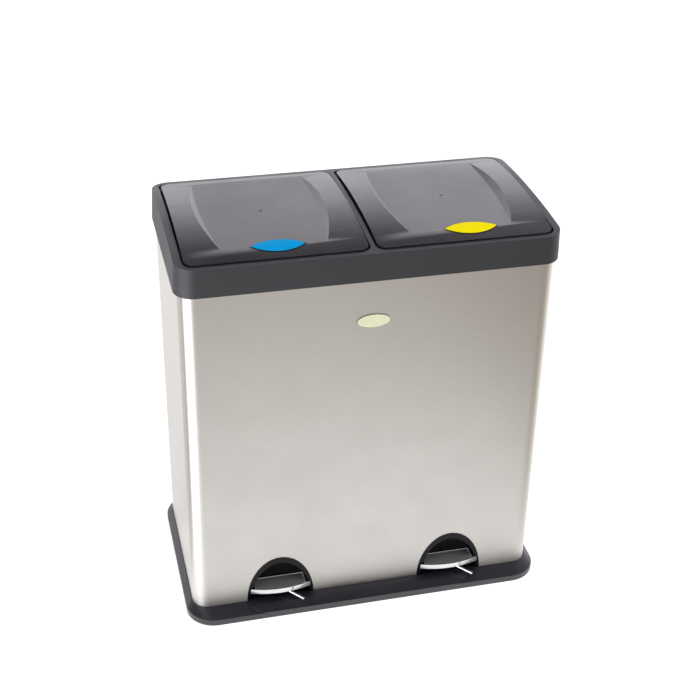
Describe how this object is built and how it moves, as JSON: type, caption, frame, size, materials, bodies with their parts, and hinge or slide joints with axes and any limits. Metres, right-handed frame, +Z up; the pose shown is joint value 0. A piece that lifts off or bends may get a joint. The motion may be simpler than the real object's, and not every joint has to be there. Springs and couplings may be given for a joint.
{
  "type": "double pedal recycling bin",
  "caption": "Free-standing steel pedal bin with two lift-out buckets side by side, each with its own hinged lid, pedal and push rod.",
  "frame": {"origin": "middle of the plinth's footprint on the floor", "axes": "+Z up, +X to the right seen from the front, -Y to the front where the pedals are"},
  "size_m": [0.5866, 0.335, 0.6397],
  "materials": {
    "brushed_steel": "fine horizontal brushing",
    "frame_plastic": "fine spark texture",
    "lid_plastic": "satin",
    "black_plastic": "fine spark texture",
    "bezel_plastic": "semi gloss",
    "deck_plastic": "moulded",
    "bucket_plastic": "moulded",
    "left_label": "smooth",
    "right_label": "smooth",
    "badge": "smooth, bare",
    "pedal_chrome": "bright",
    "plain_steel": "zinc plated",
    "feet_rubber": "matte"
  },
  "bodies": {
    "carcass": {"base_plinth": "black_plastic", "rubber_feet": "feet_rubber", "steel_body": "brushed_steel", "bucket_deck": "deck_plastic", "front_badge": "badge", "top_frame": "frame_plastic", "left_hinge_pin": "plain_steel", "right_hinge_pin": "plain_steel", "centre_hinge_pin": "plain_steel", "guide_screws": "plain_steel", "bracket_screws": "plain_steel", "left_pedal_bezel": "bezel_plastic", "left_rod_guides": "deck_plastic", "left_pedal_bracket": "plain_steel", "left_pivot_pin": "plain_steel", "right_pedal_bezel": "bezel_plastic", "right_rod_guides": "deck_plastic", "right_pedal_bracket": "plain_steel", "right_pivot_pin": "plain_steel"},
    "left_lid": {"left_lid_shell": "lid_plastic", "left_lid_label": "left_label", "left_lid_striker": "deck_plastic", "left_lid_bumpers": "feet_rubber"},
    "left_rod": {"left_push_rod": "plain_steel", "left_rod_head": "deck_plastic", "left_rod_foot": "deck_plastic"},
    "left_pedal": {"left_pedal_plate": "pedal_chrome", "left_pedal_lever": "plain_steel"},
    "left_wire": {"left_hold_open_wire": "pedal_chrome"},
    "left_bucket": {"left_bucket": "bucket_plastic"},
    "left_bail": {"left_bail": "plain_steel", "left_bail_grip": "deck_plastic"},
    "right_lid": {"right_lid_shell": "lid_plastic", "right_lid_label": "right_label", "right_lid_striker": "deck_plastic", "right_lid_bumpers": "feet_rubber"},
    "right_rod": {"right_push_rod": "plain_steel", "right_rod_head": "deck_plastic", "right_rod_foot": "deck_plastic"},
    "right_pedal": {"right_pedal_plate": "pedal_chrome", "right_pedal_lever": "plain_steel"},
    "right_wire": {"right_hold_open_wire": "pedal_chrome"},
    "right_bucket": {"right_bucket": "bucket_plastic"},
    "right_bail": {"right_bail": "plain_steel", "right_bail_grip": "deck_plastic"}
  },
  "joints": [
    {"name": "left_lid_hinge", "type": "hinge", "parent": "carcass", "child": "left_lid", "pos_m": [-0.1384, 0.1335, 0.624], "axis": [-1, 0, 0], "range_deg": [0, 72]},
    {"name": "left_rod_slide", "type": "slide", "parent": "carcass", "child": "left_rod", "axis": [0, 0, 1], "range_m": [0, 0.0178]},
    {"name": "left_pedal_pivot", "type": "hinge", "parent": "carcass", "child": "left_pedal", "pos_m": [-0.142, -0.0635, 0.03], "axis": [1, 0, 0], "range_deg": [0, 5.7]},
    {"name": "left_wire_swivel", "type": "hinge", "parent": "left_pedal", "child": "left_wire", "pos_m": [-0.137, -0.1345, 0.0298], "axis": [0, 0, 1], "range_deg": [-60, 10]},
    {"name": "left_bucket_lift", "type": "slide", "parent": "carcass", "child": "left_bucket", "axis": [0, 0, 1], "range_m": [0, 0.06]},
    {"name": "left_bail_swing", "type": "hinge", "parent": "left_bucket", "child": "left_bail", "pos_m": [-0.1384, -0.0075, 0.536], "axis": [1, 0, 0], "range_deg": [0, 155]},
    {"name": "right_lid_hinge", "type": "hinge", "parent": "carcass", "child": "right_lid", "pos_m": [0.1384, 0.1335, 0.624], "axis": [-1, 0, 0], "range_deg": [0, 72]},
    {"name": "right_rod_slide", "type": "slide", "parent": "carcass", "child": "right_rod", "axis": [0, 0, 1], "range_m": [0, 0.0178]},
    {"name": "right_pedal_pivot", "type": "hinge", "parent": "carcass", "child": "right_pedal", "pos_m": [0.142, -0.0635, 0.03], "axis": [1, 0, 0], "range_deg": [0, 5.7]},
    {"name": "right_wire_swivel", "type": "hinge", "parent": "right_pedal", "child": "right_wire", "pos_m": [0.147, -0.1345, 0.0298], "axis": [0, 0, 1], "range_deg": [-60, 10]},
    {"name": "right_bucket_lift", "type": "slide", "parent": "carcass", "child": "right_bucket", "axis": [0, 0, 1], "range_m": [0, 0.06]},
    {"name": "right_bail_swing", "type": "hinge", "parent": "right_bucket", "child": "right_bail", "pos_m": [0.1384, -0.0075, 0.536], "axis": [1, 0, 0], "range_deg": [0, 155]}
  ],
  "couplings": [
    {"joint": "left_rod_slide", "follows": "left_lid_hinge", "m_per_rad": 0.014032},
    {"joint": "left_pedal_pivot", "follows": "left_lid_hinge", "ratio": 0.077131},
    {"joint": "right_rod_slide", "follows": "right_lid_hinge", "m_per_rad": 0.014032},
    {"joint": "right_pedal_pivot", "follows": "right_lid_hinge", "ratio": 0.077131}
  ]
}
